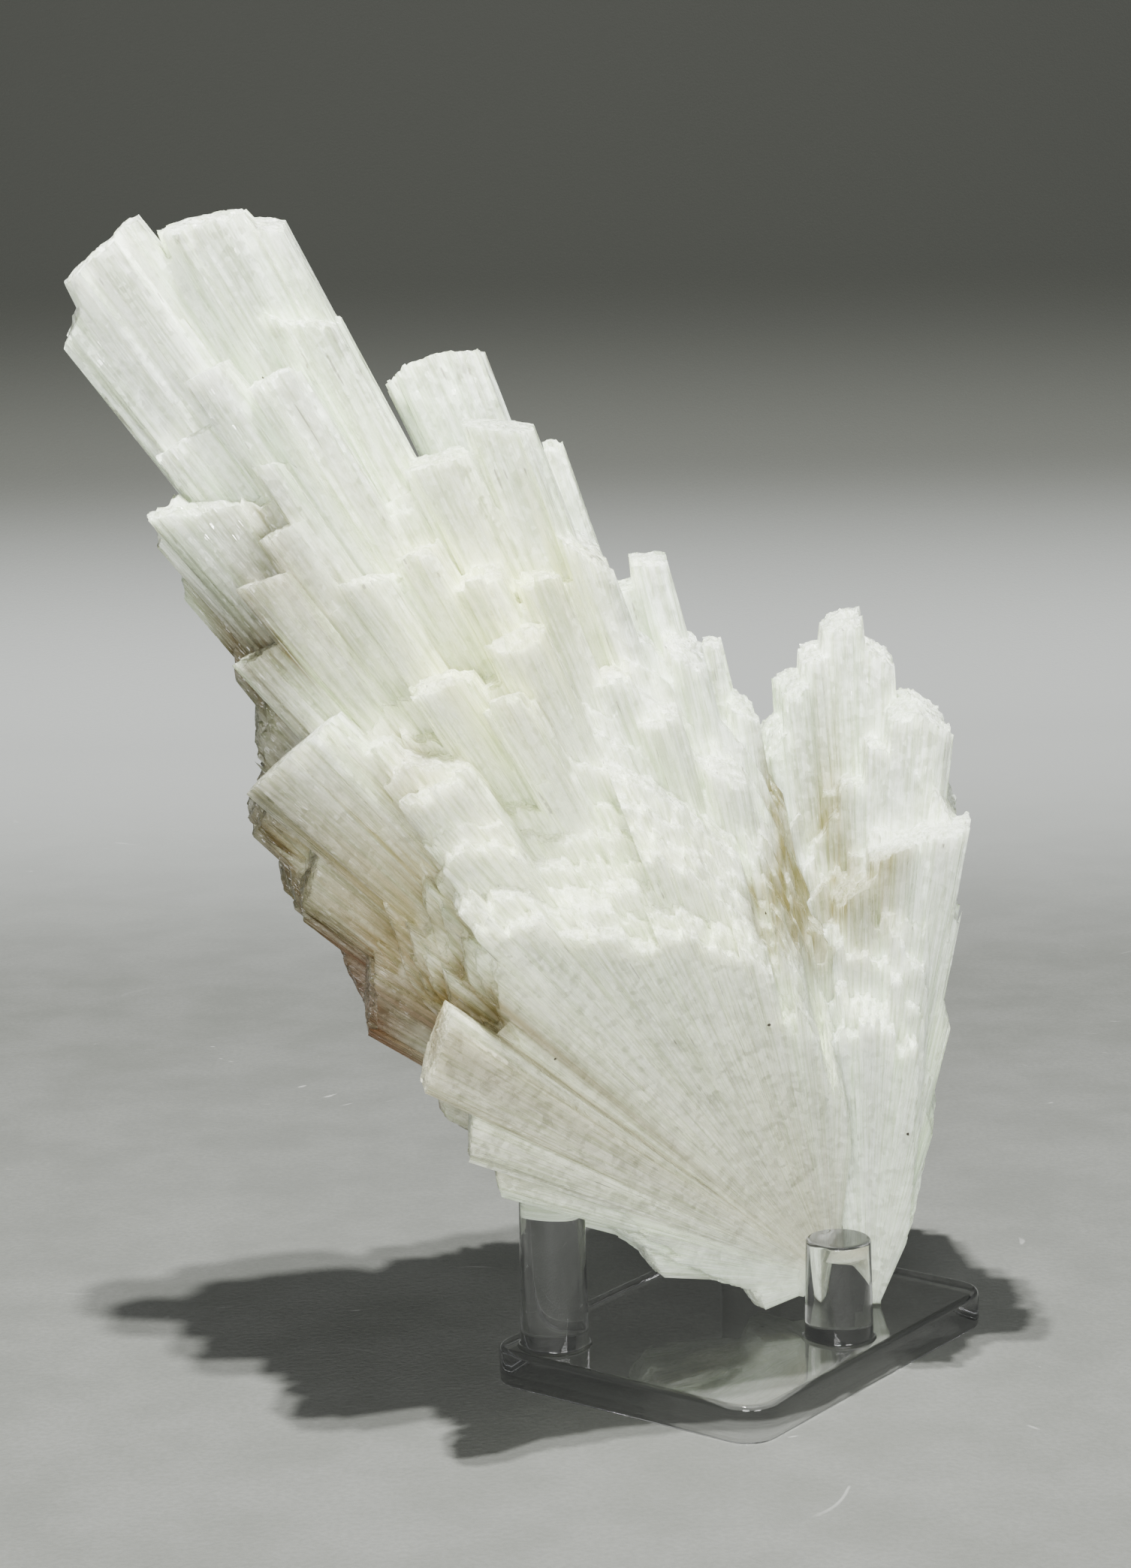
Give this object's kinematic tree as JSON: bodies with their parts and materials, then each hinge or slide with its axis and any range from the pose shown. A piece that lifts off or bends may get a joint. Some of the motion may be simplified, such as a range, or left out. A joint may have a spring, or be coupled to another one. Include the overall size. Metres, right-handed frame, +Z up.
{
  "type": "scolecite specimen",
  "caption": "Radiating spray of white, translucent scolecite crystals leaning to one side on a small clear acrylic peg stand.",
  "frame": {"origin": "centre of the stand plate's underside", "axes": "+Z up; -Y towards the viewer of the display face; the spray leans towards -X"},
  "size_m": [0.1041, 0.0744, 0.1361],
  "materials": {
    "scolecite": "satin",
    "clear_acrylic": "gloss"
  },
  "bodies": {
    "root": {"scolecite_spray": "scolecite", "peg_stand": "clear_acrylic"}
  },
  "joints": []
}
